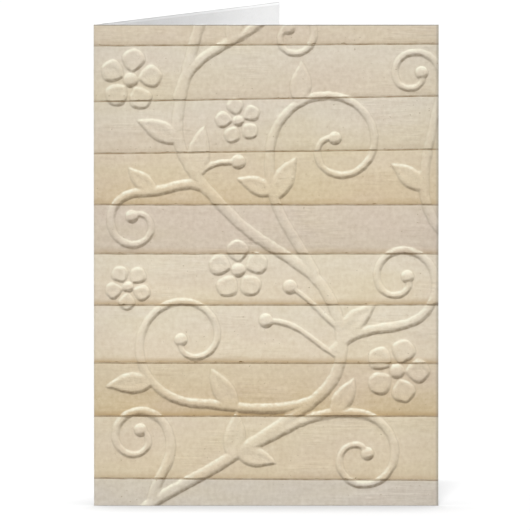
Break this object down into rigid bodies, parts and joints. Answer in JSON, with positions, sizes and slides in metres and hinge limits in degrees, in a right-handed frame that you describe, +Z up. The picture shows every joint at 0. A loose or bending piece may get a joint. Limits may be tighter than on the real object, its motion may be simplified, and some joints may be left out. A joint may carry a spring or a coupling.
{
  "type": "greeting card",
  "caption": "Folded greeting card that stands open, its front board-patterned and raised with scrolls, leaves and blossoms.",
  "frame": {"origin": "middle of the bounding box, on the surface that the card stands on", "axes": "+Z up along the fold, -Y out of the printed front panel, +X from the fold towards the open edge"},
  "size_m": [0.127, 0.1082, 0.1778],
  "materials": {
    "printed_card": "matte"
  },
  "bodies": {
    "root": {"card": "printed_card"}
  },
  "joints": []
}
